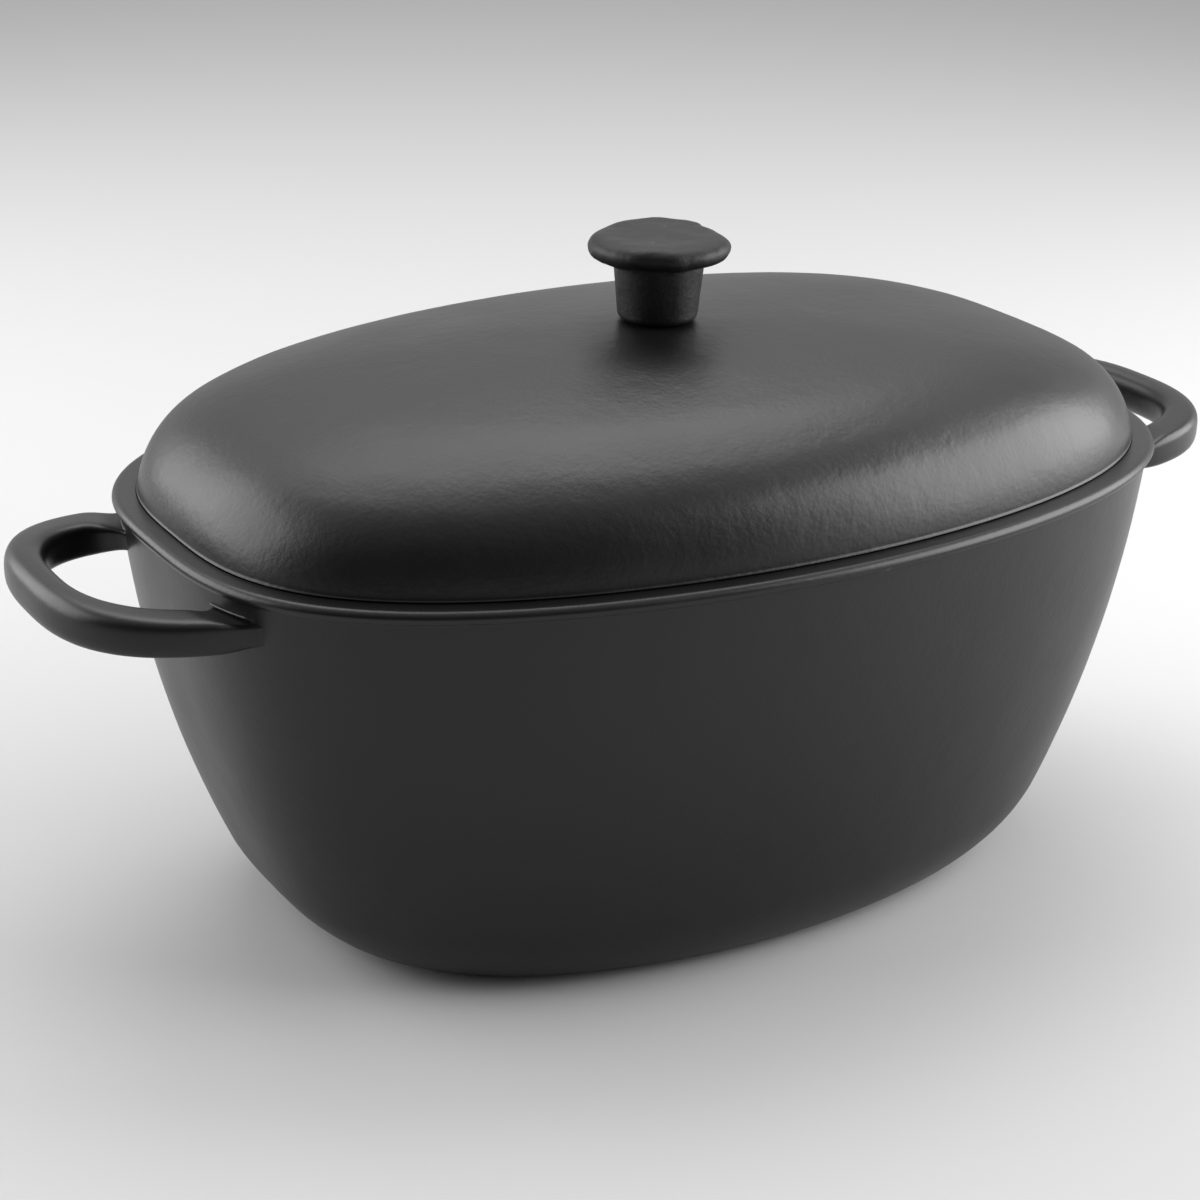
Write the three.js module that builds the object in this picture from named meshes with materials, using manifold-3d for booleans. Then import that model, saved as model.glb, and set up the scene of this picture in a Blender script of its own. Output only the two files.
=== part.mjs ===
// Oval cast iron dutch oven with two loop handles and a domed lid.
// Millimetres, +Z up, +X along the long axis. The origin is the centre of the base's underside.
import * as THREE from 'three';
import { mergeVertices } from 'three/addons/utils/BufferGeometryUtils.js';
import Module from 'manifold-3d';

const wasm = await Module();
wasm.setup();

// Plan outline: |x / halfLength|^LONG_POWER + |y / halfWidth|^WIDE_POWER = 1.
const RIM_HALF_LENGTH = 185;
const RIM_HALF_WIDTH = 121.8;
const LONG_POWER = 1.93;
const WIDE_POWER = 3.04;
const OUTLINE_SEGMENTS = 64;

// Facets of round pieces and of holes, and how far a cut or a joined solid runs past the face it meets.
const ROUND_SEGMENTS = 32;
const HOLE_SEGMENTS = 24;
const PAST = 1;

// Pot. Leans are angles from the vertical, insets are measured inwards from the rim's outline.
const POT_HEIGHT = 148.4;
const LIP_HEIGHT = 4.2;
const LIP_OVERHANG = 2.4;
const LIP_ROUNDING = 2.4;
const LIP_FOOT_INSET = 1;
const WALL_TOP_LEAN = 4.7;
const WALL_FOOT_LEAN = 24.4;
const WALL_RADIUS = 363;
const WALL_THICKNESS = 4.4;
const FLOOR_THICKNESS = 5.2;
const SIDE_INSET_RATIO = 0.53;
const MOUTH_INSET = 11.4;
const MOUTH_CHAMFER = 0.8;

// Shallow seat that the lid drops into, cut in the top of the rim.
const SEAT_DEPTH = 1.2;
const SEAT_OUTER_INSET = 7.4;
const SEAT_SLOPE_WIDTH = 0.6;

// Loop handles: a D-shaped bar that rises a little from the wall. Its section is flat and wide in the
// legs and narrow and tall in the grip. At the roots it flares inwards and down, and its top and outer
// side draw in a little. Depths are below the rim.
const HANDLE_REACH = 35.75;
const HANDLE_HALF_SPAN = 48.2;
const HANDLE_ROOT_X = 168.6;
const HANDLE_POWER = 2.71;
const HANDLE_ROOT_DEPTH = 14.3;
const HANDLE_GRIP_DEPTH = 11;
const LEG_WIDTH = 14.9;
const LEG_HEIGHT = 11.3;
const GRIP_WIDTH = 12.6;
const GRIP_HEIGHT = 15;
const BAR_ROUNDING = 0.36;
const HANDLE_STEPS = 24;
const ROOT_FLARE_START = 19;
const ROOT_FLARE_LENGTH = 12;
const ROOT_FLARE_INWARD = 5;
const ROOT_FLARE_OUTWARD = -1.2;
const ROOT_FLARE_DOWN = 2;
const ROOT_FLARE_UP = -1;

// Lid. Slopes are angles from the horizontal, from the edge up to the crown.
const LID_INSET = 8;
const LID_EDGE_HEIGHT = 1.5;
const LID_THICKNESS = 4.2;
const LID_EDGE_SLOPE = 81.7;
const SHOULDER_ARCS = [
  { radius: 33, endSlope: 28.5, steps: 5 },
  { radius: 84, endSlope: 18.5, steps: 2 },
  { radius: 203, endSlope: 7.9, steps: 2 },
];
const CROWN_STEPS = 3;
const RIB_INSET = 12.4;
const RIB_WIDTH = 4;
const RIB_DEPTH = 5.5;
const RIB_TAPER = 0.5;
const LID_EDGE_BREAK = 0.4;
const LID_EDGE_UNDERCUT = 0.3;
const BOSS_RADIUS = 15;
const BOSS_THICKNESS = 7.5;

// Knob and its fastening.
const GAP = 0.3;
const KNOB_HEIGHT = 29;
const KNOB_CAP_RADIUS = 24.1;
const KNOB_CAP_HEIGHT = 9.2;
const KNOB_RIM_ROUNDING = 3.6;
const KNOB_RIM_DEPTH = 4.2;
const KNOB_DISH = 0.8;
const KNOB_NECK_RADIUS = 15.4;
const KNOB_FOOT_RADIUS = 13.7;
const KNOB_FOOT_BREAK = 1.4;
const KNOB_HOLE_DEPTH = 15;
const SCREW_RADIUS = 3;
const SCREW_LENGTH = 13;
const SCREW_HEAD_RADIUS = 6;
const SCREW_HEAD_HEIGHT = 3.6;
const SCREW_SLOT_WIDTH = 1.4;
const SCREW_SLOT_DEPTH = 1.6;
const WASHER_OUTER_RADIUS = 5.8;
const WASHER_THICKNESS = 1.6;
const WASHER_SPLIT = 1.2;

const degrees = THREE.MathUtils.degToRad;

const castIron = () => new THREE.MeshStandardMaterial({ color: 0x2c2c2d, roughness: 0.55, metalness: 0.3 });
const roughIron = () => new THREE.MeshStandardMaterial({ color: 0x262627, roughness: 0.7, metalness: 0.3 });
const steel = () => new THREE.MeshStandardMaterial({ color: 0x9b9c9e, roughness: 0.35, metalness: 0.9 });

// ---------------------------------------------------------------- solids

function toSolid(geometry) {
  const bare = geometry.clone();
  bare.deleteAttribute('normal');
  bare.deleteAttribute('uv');
  const merged = mergeVertices(bare, 1e-4);
  const index = merged.getIndex().array;
  const triangles = [];
  for (let i = 0; i < index.length; i += 3) {
    const [a, b, c] = [index[i], index[i + 1], index[i + 2]];
    if (a !== b && b !== c && c !== a) triangles.push(a, b, c);
  }
  return new wasm.Manifold(new wasm.Mesh({
    numProp: 3,
    vertProperties: Float32Array.from(merged.getAttribute('position').array),
    triVerts: Uint32Array.from(triangles),
  }));
}

function toMesh(name, solid, material) {
  const { vertProperties, triVerts } = solid.getMesh();
  const geometry = new THREE.BufferGeometry();
  geometry.setAttribute('position', new THREE.BufferAttribute(vertProperties, 3));
  geometry.setIndex(new THREE.BufferAttribute(triVerts, 1));
  geometry.computeVertexNormals();
  const mesh = new THREE.Mesh(geometry, material);
  mesh.name = name;
  return mesh;
}

function uprightCylinder(radius, low, high, segments = ROUND_SEGMENTS) {
  const geometry = new THREE.CylinderGeometry(radius, radius, high - low, segments);
  geometry.rotateX(Math.PI / 2);
  geometry.translate(0, 0, (low + high) / 2);
  return toSolid(geometry);
}

// Distance from the centre to the plan outline in the direction theta, by bisection.
function outlineRadius(theta, halfLength, halfWidth) {
  const across = Math.abs(Math.cos(theta)) / halfLength;
  const along = Math.abs(Math.sin(theta)) / halfWidth;
  let low = 0;
  let high = halfLength + halfWidth;
  for (let i = 0; i < 40; i++) {
    const middle = (low + high) / 2;
    const inside = (middle * across) ** LONG_POWER + (middle * along) ** WIDE_POWER < 1;
    if (inside) low = middle;
    else high = middle;
  }
  return low;
}

// A solid lofted through level sections { halfLength, halfWidth, z }, listed up the outside,
// over the top and down the inside. A section of no size closes the solid on its axis.
function ovalSolid(sections) {
  const profile = sections.map(({ halfLength, z }) => new THREE.Vector2(halfLength, z));
  const geometry = new THREE.LatheGeometry(profile, OUTLINE_SEGMENTS);
  const position = geometry.getAttribute('position');
  for (let i = 0; i < position.count; i++) {
    const { halfLength, halfWidth, z } = sections[i % sections.length];
    const turn = Math.floor(i / sections.length) % OUTLINE_SEGMENTS;
    const theta = (turn / OUTLINE_SEGMENTS) * 2 * Math.PI;
    const radius = halfLength > 0 ? outlineRadius(theta, halfLength, halfWidth) : 0;
    position.setXYZ(i, radius * Math.cos(theta), radius * Math.sin(theta), z);
  }
  return toSolid(geometry);
}

function section(inset, z, sideInset = inset) {
  return { halfLength: RIM_HALF_LENGTH - inset, halfWidth: RIM_HALF_WIDTH - sideInset, z };
}

const onAxis = (z) => ({ halfLength: 0, halfWidth: 0, z });

// ---------------------------------------------------------------- pot

// The wall's outside from under the lip to the edge of the flat base, as arcs that join smoothly.
// Each point has its inset, its depth below the rim and its lean from the vertical.
function wallPoints() {
  const footDrop = WALL_RADIUS * (Math.sin(degrees(WALL_FOOT_LEAN)) - Math.sin(degrees(WALL_TOP_LEAN)));
  const cornerDrop = POT_HEIGHT - LIP_HEIGHT - footDrop;
  const cornerRadius = cornerDrop / (1 - Math.sin(degrees(WALL_FOOT_LEAN)));
  const arcs = [
    { radius: WALL_RADIUS, endLean: WALL_FOOT_LEAN, steps: 4 },
    { radius: cornerRadius, endLean: 90, steps: 5 },
  ];
  let start = { inset: LIP_OVERHANG, depth: LIP_HEIGHT, lean: WALL_TOP_LEAN };
  const points = [start];
  for (const { radius, endLean, steps } of arcs) {
    for (let i = 1; i <= steps; i++) {
      const lean = THREE.MathUtils.lerp(start.lean, endLean, i / steps);
      points.push({
        inset: start.inset + radius * (Math.cos(degrees(start.lean)) - Math.cos(degrees(lean))),
        depth: start.depth + radius * (Math.sin(degrees(lean)) - Math.sin(degrees(start.lean))),
        lean,
      });
    }
    start = points[points.length - 1];
  }
  return points;
}

// The long sides lean in less than the ends.
const sideInsetOf = (inset) => LIP_OVERHANG + SIDE_INSET_RATIO * (inset - LIP_OVERHANG);

function outerWallSections() {
  return wallPoints().map(({ inset, depth }) => section(inset, POT_HEIGHT - depth, sideInsetOf(inset)));
}

// The inside follows the outside at the wall's thickness, and never undercuts the mouth.
function innerWallSections() {
  const sections = [];
  for (const { inset, depth, lean } of wallPoints()) {
    const thickness = THREE.MathUtils.lerp(WALL_THICKNESS, FLOOR_THICKNESS, Math.sin(degrees(lean)) ** 2);
    const sideways = thickness * Math.cos(degrees(lean));
    const upwards = thickness * Math.sin(degrees(lean));
    const inner = Math.max(inset + sideways, MOUTH_INSET);
    const innerSide = Math.max(sideInsetOf(inset) + sideways, MOUTH_INSET);
    if (depth > LIP_HEIGHT) sections.push(section(inner, POT_HEIGHT - depth + upwards, innerSide));
  }
  return sections;
}

function rimSections() {
  const sections = [];
  const lipFoot = POT_HEIGHT - LIP_HEIGHT;
  sections.push(section(LIP_FOOT_INSET, lipFoot));
  for (const turn of [0, 30, 60, 90]) {
    const inset = LIP_ROUNDING * (1 - Math.cos(degrees(turn)));
    sections.push(section(inset, POT_HEIGHT - LIP_ROUNDING * (1 - Math.sin(degrees(turn)))));
  }
  const seat = POT_HEIGHT - SEAT_DEPTH;
  sections.push(section(SEAT_OUTER_INSET - SEAT_SLOPE_WIDTH, POT_HEIGHT));
  sections.push(section(SEAT_OUTER_INSET, seat));
  sections.push(section(MOUTH_INSET - MOUTH_CHAMFER, seat));
  sections.push(section(MOUTH_INSET, seat - MOUTH_CHAMFER));
  return sections;
}

function cavitySolid() {
  const mouth = section(MOUTH_INSET, POT_HEIGHT);
  const floorUp = innerWallSections().reverse();
  return ovalSolid([onAxis(FLOOR_THICKNESS), ...floorUp, mouth, onAxis(POT_HEIGHT)]);
}

// Width over height of a bar one unit wide and high, with rounded corners.
function barSection() {
  const corner = 0.5 - BAR_ROUNDING;
  const shape = new THREE.Shape();
  shape.absarc(corner, corner, BAR_ROUNDING, 0, Math.PI / 2);
  shape.absarc(-corner, corner, BAR_ROUNDING, Math.PI / 2, Math.PI);
  shape.absarc(-corner, -corner, BAR_ROUNDING, Math.PI, 1.5 * Math.PI);
  shape.absarc(corner, -corner, BAR_ROUNDING, 1.5 * Math.PI, 2 * Math.PI);
  return shape;
}

// The handle's centreline from one root (t = 0) to the other (t = 1), and how far out of the wall it is.
function handleCentre(t) {
  const turn = degrees(THREE.MathUtils.lerp(-90, 90, t));
  const reach = RIM_HALF_LENGTH + HANDLE_REACH - HANDLE_ROOT_X;
  const power = 2 / HANDLE_POWER;
  const out = reach * Math.max(Math.cos(turn), 0) ** power;
  const y = HANDLE_HALF_SPAN * Math.sign(turn) * Math.abs(Math.sin(turn)) ** power;
  const depth = THREE.MathUtils.lerp(HANDLE_ROOT_DEPTH, HANDLE_GRIP_DEPTH, out / reach);
  return { centre: new THREE.Vector3(HANDLE_ROOT_X + out, y, POT_HEIGHT - depth), out, reach };
}

// The bar is extruded straight, one unit long, and its rings are then set across the centreline.
function handleSolid() {
  const geometry = new THREE.ExtrudeGeometry(barSection(), {
    depth: 1,
    steps: HANDLE_STEPS,
    curveSegments: 3,
    bevelEnabled: false,
  });
  const position = geometry.getAttribute('position');
  const nudge = 1e-3;
  for (let i = 0; i < position.count; i++) {
    const t = position.getZ(i);
    const { centre, out, reach } = handleCentre(t);
    const before = handleCentre(Math.max(t - nudge, 0)).centre;
    const after = handleCentre(Math.min(t + nudge, 1)).centre;
    const inward = new THREE.Vector3(before.y - after.y, after.x - before.x, 0).normalize();
    const grip = (out / reach) ** 2;
    const flare = THREE.MathUtils.clamp((ROOT_FLARE_START - out) / ROOT_FLARE_LENGTH, 0, 1) ** 2;
    const sideFlare = position.getX(i) > 0 ? ROOT_FLARE_INWARD : ROOT_FLARE_OUTWARD;
    const heightFlare = position.getY(i) > 0 ? ROOT_FLARE_UP : ROOT_FLARE_DOWN;
    const width = THREE.MathUtils.lerp(LEG_WIDTH, GRIP_WIDTH, grip) + 2 * flare * sideFlare;
    const height = THREE.MathUtils.lerp(LEG_HEIGHT, GRIP_HEIGHT, grip) + 2 * flare * heightFlare;
    const place = centre.addScaledVector(inward, position.getX(i) * width);
    position.setXYZ(i, place.x, place.y, place.z + position.getY(i) * height);
  }
  return toSolid(geometry);
}

function buildPot() {
  const body = ovalSolid([
    onAxis(0),
    ...outerWallSections().reverse(),
    ...rimSections(),
    ...innerWallSections(),
    onAxis(FLOOR_THICKNESS),
  ]);
  const cavity = cavitySolid();
  const right = handleSolid().subtract(cavity);
  const left = right.rotate([0, 0, 180]);
  return toMesh('pot', body.add(right).add(left), castIron());
}

// ---------------------------------------------------------------- lid

// The lid's outside from its edge to the centre: the way in from the edge, the height and the slope.
function domePoints() {
  let start = { inward: 0, height: 0, slope: LID_EDGE_SLOPE };
  const points = [start];
  const bend = (radius, endSlope, steps) => {
    for (let i = 1; i <= steps; i++) {
      const slope = THREE.MathUtils.lerp(start.slope, endSlope, i / steps);
      points.push({
        inward: start.inward + radius * (Math.sin(degrees(start.slope)) - Math.sin(degrees(slope))),
        height: start.height + radius * (Math.cos(degrees(slope)) - Math.cos(degrees(start.slope))),
        slope,
      });
    }
    start = points[points.length - 1];
  };
  for (const { radius, endSlope, steps } of SHOULDER_ARCS) bend(radius, endSlope, steps);
  const crownRadius = (RIM_HALF_LENGTH - LID_INSET - start.inward) / Math.sin(degrees(start.slope));
  bend(crownRadius, 0, CROWN_STEPS);
  return points;
}

// A level section of the dome, which keeps the edge's proportions as it shrinks to the centre.
function domeSection(inward, z) {
  const halfLength = RIM_HALF_LENGTH - LID_INSET;
  const halfWidth = RIM_HALF_WIDTH - LID_INSET;
  const scale = Math.max(0, 1 - inward / halfLength);
  return { halfLength: halfLength * scale, halfWidth: halfWidth * scale, z };
}

const LID_EDGE_Z = POT_HEIGHT + LID_EDGE_HEIGHT;
const LID_TOP_Z = LID_EDGE_Z + domePoints().at(-1).height;
const LID_UNDERSIDE_Z = LID_TOP_Z - BOSS_THICKNESS;

function buildLid() {
  const outside = domePoints().slice(0, -1);
  const seat = POT_HEIGHT - SEAT_DEPTH + GAP;
  const ribFoot = POT_HEIGHT - RIB_DEPTH;
  const ribInner = RIB_INSET + RIB_WIDTH;
  const inner = [];
  for (const { inward, height, slope } of outside) {
    const under = inward + LID_THICKNESS * Math.sin(degrees(slope));
    const z = LID_EDGE_Z + height - LID_THICKNESS * Math.cos(degrees(slope));
    if (under > ribInner - LID_INSET + PAST) inner.push(domeSection(under, z));
  }
  const dome = ovalSolid([
    onAxis(LID_TOP_Z - LID_THICKNESS),
    ...inner.reverse(),
    section(ribInner, POT_HEIGHT),
    section(ribInner - RIB_TAPER, ribFoot),
    section(RIB_INSET + RIB_TAPER, ribFoot),
    section(RIB_INSET, seat),
    section(LID_INSET + LID_EDGE_UNDERCUT + LID_EDGE_BREAK, seat),
    section(LID_INSET + LID_EDGE_UNDERCUT, seat + LID_EDGE_BREAK),
    section(LID_INSET + LID_EDGE_UNDERCUT, LID_EDGE_Z - LID_EDGE_UNDERCUT),
    ...outside.map(({ inward, height }) => domeSection(inward, LID_EDGE_Z + height)),
    onAxis(LID_TOP_Z),
  ]);
  const boss = uprightCylinder(BOSS_RADIUS, LID_UNDERSIDE_Z, LID_TOP_Z - PAST);
  const hole = uprightCylinder(SCREW_RADIUS + GAP, LID_UNDERSIDE_Z - PAST, LID_TOP_Z + PAST, HOLE_SEGMENTS);
  return toMesh('lid', dome.add(boss).subtract(hole), castIron());
}

// ---------------------------------------------------------------- knob and fastening

const KNOB_Z = LID_TOP_Z + GAP;

// A mushroom: a stem that widens upwards and a broad cap with a rounded rim and a slightly dished top.
function buildKnob() {
  const rimCentre = KNOB_CAP_RADIUS - KNOB_RIM_ROUNDING;
  const rimZ = KNOB_HEIGHT - KNOB_RIM_DEPTH;
  const profile = [
    new THREE.Vector2(0, 0),
    new THREE.Vector2(KNOB_FOOT_RADIUS - KNOB_FOOT_BREAK, 0),
    new THREE.Vector2(KNOB_FOOT_RADIUS, KNOB_FOOT_BREAK),
    new THREE.Vector2(KNOB_NECK_RADIUS, KNOB_HEIGHT - KNOB_CAP_HEIGHT),
  ];
  for (const turn of [-70, -45, -20, 0, 20, 45, 70]) {
    const x = rimCentre + KNOB_RIM_ROUNDING * Math.cos(degrees(turn));
    profile.push(new THREE.Vector2(x, rimZ + KNOB_RIM_ROUNDING * Math.sin(degrees(turn))));
  }
  profile.push(new THREE.Vector2(KNOB_NECK_RADIUS, KNOB_HEIGHT));
  profile.push(new THREE.Vector2(0, KNOB_HEIGHT - KNOB_DISH));
  const turned = new THREE.LatheGeometry(profile, ROUND_SEGMENTS);
  turned.rotateX(Math.PI / 2);
  const hole = uprightCylinder(SCREW_RADIUS + GAP, -PAST, KNOB_HOLE_DEPTH, HOLE_SEGMENTS);
  const knob = toMesh('knob', toSolid(turned).subtract(hole), roughIron());
  knob.position.z = KNOB_Z;
  return knob;
}

function buildScrew() {
  const headTop = LID_UNDERSIDE_Z - WASHER_THICKNESS - 2 * GAP;
  const head = uprightCylinder(SCREW_HEAD_RADIUS, headTop - SCREW_HEAD_HEIGHT, headTop);
  const shank = uprightCylinder(SCREW_RADIUS, headTop - PAST, KNOB_Z + SCREW_LENGTH, HOLE_SEGMENTS);
  const slotShape = new THREE.BoxGeometry(3 * SCREW_HEAD_RADIUS, SCREW_SLOT_WIDTH, 2 * SCREW_SLOT_DEPTH);
  slotShape.translate(0, 0, headTop - SCREW_HEAD_HEIGHT);
  return toMesh('knob_screw', head.add(shank).subtract(toSolid(slotShape)), steel());
}

function buildLockWasher() {
  const inner = SCREW_RADIUS + GAP;
  const outerTurn = Math.asin(WASHER_SPLIT / 2 / WASHER_OUTER_RADIUS);
  const innerTurn = Math.asin(WASHER_SPLIT / 2 / inner);
  const shape = new THREE.Shape();
  shape.absarc(0, 0, WASHER_OUTER_RADIUS, outerTurn, 2 * Math.PI - outerTurn);
  shape.absarc(0, 0, inner, 2 * Math.PI - innerTurn, innerTurn, true);
  const ring = new THREE.ExtrudeGeometry(shape, {
    depth: WASHER_THICKNESS,
    bevelEnabled: false,
    curveSegments: 12,
  });
  const washer = toMesh('lock_washer', toSolid(ring), steel());
  washer.position.z = LID_UNDERSIDE_Z - GAP - WASHER_THICKNESS;
  return washer;
}

const dutchOven = new THREE.Group();
dutchOven.add(buildPot(), buildLid(), buildKnob(), buildScrew(), buildLockWasher());
export default dutchOven;
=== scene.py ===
"""Looks of the oval cast iron dutch oven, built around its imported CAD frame. Metres, +Z up."""

import math

import bpy
import numpy as np
from mathutils import Matrix, Vector, noise


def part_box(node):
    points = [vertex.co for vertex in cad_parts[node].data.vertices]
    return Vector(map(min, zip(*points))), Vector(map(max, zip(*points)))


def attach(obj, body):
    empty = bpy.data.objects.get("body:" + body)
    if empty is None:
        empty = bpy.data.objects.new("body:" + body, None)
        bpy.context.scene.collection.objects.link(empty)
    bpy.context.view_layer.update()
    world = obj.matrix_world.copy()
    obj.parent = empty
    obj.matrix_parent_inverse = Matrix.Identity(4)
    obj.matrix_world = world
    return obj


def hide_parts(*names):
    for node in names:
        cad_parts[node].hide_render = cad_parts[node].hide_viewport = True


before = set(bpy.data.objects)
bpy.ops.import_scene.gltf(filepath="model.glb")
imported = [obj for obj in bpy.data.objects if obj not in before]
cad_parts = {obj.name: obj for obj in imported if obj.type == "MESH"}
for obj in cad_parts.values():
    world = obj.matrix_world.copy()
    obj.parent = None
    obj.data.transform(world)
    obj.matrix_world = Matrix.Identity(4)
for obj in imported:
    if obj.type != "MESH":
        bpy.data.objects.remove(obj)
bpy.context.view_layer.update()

MM = 0.001

# ------------------------------------------------------------------ the frame and the rim's outline

POT_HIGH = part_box("pot")[1]
LID_LOW, LID_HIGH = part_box("lid")
KNOB_LOW, KNOB_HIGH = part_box("knob")
WASHER_TOP_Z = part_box("lock_washer")[1].z

LID_INSET = 8.0 * MM
RIM_Z = POT_HIGH.z
RIM_HALF_LENGTH = LID_HIGH.x + LID_INSET
RIM_HALF_WIDTH = POT_HIGH.y
LONG_POWER = 1.93
WIDE_POWER = 3.04
AROUND = 384


# ------------------------------------------------------------------ helpers

def outline_radius(theta, half_length, half_width):
    """Distance from the centre to |x/a|^LONG_POWER + |y/b|^WIDE_POWER = 1 in each direction theta."""
    across = np.abs(np.cos(theta)) / half_length
    along = np.abs(np.sin(theta)) / half_width
    low = np.zeros_like(theta)
    high = np.full_like(theta, half_length + half_width)
    for _ in range(45):
        middle = (low + high) / 2
        inside = (middle * across) ** LONG_POWER + (middle * along) ** WIDE_POWER < 1
        low = np.where(inside, middle, low)
        high = np.where(inside, high, middle)
    return low


def even_directions(count):
    """Directions that space points evenly along the rim's outline."""
    fine = np.linspace(0, 2 * math.pi, 4001)
    radius = outline_radius(fine, RIM_HALF_LENGTH, RIM_HALF_WIDTH)
    x, y = radius * np.cos(fine), radius * np.sin(fine)
    length = np.concatenate([[0], np.cumsum(np.hypot(np.diff(x), np.diff(y)))])
    return np.interp(np.arange(count) / count * length[-1], length, fine)


DIRECTIONS = even_directions(AROUND)


def arc_points(start, heading, arcs, step):
    """A path (u, v, heading) of arcs that join smoothly. The heading is in degrees from +v towards +u."""
    u, v = start
    points = [(u, v, heading)]
    for radius, end in arcs:
        length = abs(radius * math.radians(end - heading))
        count = max(3, round(length / step))
        a = math.radians(heading)
        for k in range(1, count + 1):
            b = math.radians(heading + (end - heading) * k / count)
            points.append((u + radius * (math.cos(a) - math.cos(b)),
                           v + radius * (math.sin(b) - math.sin(a)), math.degrees(b)))
        u, v, heading = points[-1]
    return points


def rounded(corner, before, after, radius, steps=5):
    """Points of a small round at a corner of a profile, between its two neighbours. All are (x, y, z)."""
    c, p, q = (np.array(v, float) for v in (corner, before, after))
    p = c + (p - c) / np.linalg.norm(p - c) * min(radius, 0.49 * np.linalg.norm(p - c))
    q = c + (q - c) / np.linalg.norm(q - c) * min(radius, 0.49 * np.linalg.norm(q - c))
    t = np.linspace(0, 1, steps)[:, None]
    return [tuple(v) for v in (1 - t) ** 2 * p + 2 * t * (1 - t) * c + t ** 2 * q]


def smooth(f):
    """Eases from 0 to 1 as f goes from 0 to 1."""
    f = max(0.0, min(1.0, f))
    return f * f * (3 - 2 * f)


def roughen(piece, waves, reach):
    """Moves each vertex along its normal by smooth noise, as a casting is uneven.

    waves lists (size, amount) in metres. reach(point) fades it, so that fitting faces stay true."""
    mesh = piece.data
    normals = [normal.vector.copy() for normal in mesh.vertex_normals]
    for vertex, normal in zip(mesh.vertices, normals):
        fade = reach(vertex.co)
        if fade > 0:
            push = sum(amount * noise.noise(vertex.co / size) for size, amount in waves)
            vertex.co += normal * (push * fade)
    mesh.update()


def section(inset, z, side_inset=None):
    """A level section of the outline, (half length, half width, height), this far inside the rim's edge."""
    return (RIM_HALF_LENGTH - inset, RIM_HALF_WIDTH - (inset if side_inset is None else side_inset), z)


def mesh_object(name, points, faces, shade_smooth=True):
    mesh = bpy.data.meshes.new(name)
    mesh.from_pydata([tuple(p) for p in points], [], faces)
    mesh.update()
    if shade_smooth:
        mesh.polygons.foreach_set("use_smooth", [True] * len(mesh.polygons))
    piece = bpy.data.objects.new(name, mesh)
    bpy.context.scene.collection.objects.link(piece)
    return piece


def loft(rings, closed_profile=False):
    """Points and faces through rings of equal count. A ring of one point closes that end."""
    points, starts, faces = [], [], []
    for ring in rings:
        starts.append((len(points), len(ring)))
        points.extend(ring)
    pairs = list(zip(starts, starts[1:]))
    if closed_profile:
        pairs.append((starts[-1], starts[0]))
    for (a, na), (b, nb) in pairs:
        n = max(na, nb)
        for i in range(n):
            j = (i + 1) % n
            if na == 1:
                faces.append((a, b + j, b + i))
            elif nb == 1:
                faces.append((a + i, a + j, b))
            else:
                faces.append((a + i, a + j, b + j, b + i))
    return points, faces


def oval_ring(half_length, half_width, z):
    if half_length < 1e-6:
        return [(0.0, 0.0, z)]
    radius = outline_radius(DIRECTIONS, half_length, half_width)
    return [(r * math.cos(t), r * math.sin(t), z) for r, t in zip(radius, DIRECTIONS)]


def round_ring(radius, z, count):
    if radius < 1e-6:
        return [(0.0, 0.0, z)]
    turns = [2 * math.pi * i / count for i in range(count)]
    return [(radius * math.cos(turn), radius * math.sin(turn), z) for turn in turns]


# ------------------------------------------------------------------ pot

LIP_HEIGHT = 4.2 * MM
LIP_OVERHANG = 2.4 * MM
LIP_ROUNDING = 2.4 * MM
LIP_STEPS = 10
LIP_FOOT_INSET = 1 * MM
LIP_FOOT_ROUND = 0.6 * MM
LEDGE_INSETS = (3.2 * MM, 4 * MM, 4.8 * MM)
LEDGE_END_ROUND = 0.5 * MM

# The seat is narrower than in the CAD, so that no gap shows between the ledge and the lid's edge.
SEAT_DEPTH = 1.2 * MM
SEAT_OUTER_INSET = 7.9 * MM
SEAT_SLOPE_WIDTH = 0.15 * MM
SEAT_CORNER_ROUND = 0.3 * MM
MOUTH_INSET = 11.4 * MM
MOUTH_DEPTH = 9 * MM
MOUTH_ROUND = 0.9 * MM

WALL_TOP_ROUND = 0.9 * MM
WALL_TOP_LEAN = 4.7
WALL_FOOT_LEAN = 24.4
WALL_RADIUS = 363 * MM
WALL_STEP = 2.2 * MM
WALL_THICKNESS = 4.4 * MM
FLOOR_THICKNESS = 5.2 * MM
CAVITY_TOP_DEPTH = 12 * MM
SIDE_INSET_RATIO = 0.53
FLAT_STEPS = (0.1, 0.3, 0.5, 0.7, 0.85, 0.95)

POT_WAVES = ((18 * MM, 0.10 * MM), (6 * MM, 0.03 * MM))
POT_WAVES_FADE = 6 * MM
POT_WAVES_TOP = RIM_Z - 4 * MM


def side_inset_of(inset):
    return LIP_OVERHANG + SIDE_INSET_RATIO * (inset - LIP_OVERHANG)


def wall_path():
    """(inset, depth, lean) down the outside of the wall to the edge of the flat base."""
    foot = math.sin(math.radians(WALL_FOOT_LEAN))
    drop = WALL_RADIUS * (foot - math.sin(math.radians(WALL_TOP_LEAN)))
    corner = (RIM_Z - LIP_HEIGHT - drop) / (1 - foot)
    arcs = ((WALL_RADIUS, WALL_FOOT_LEAN), (corner, 90))
    return arc_points((LIP_OVERHANG, LIP_HEIGHT), WALL_TOP_LEAN, arcs, WALL_STEP)


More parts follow.
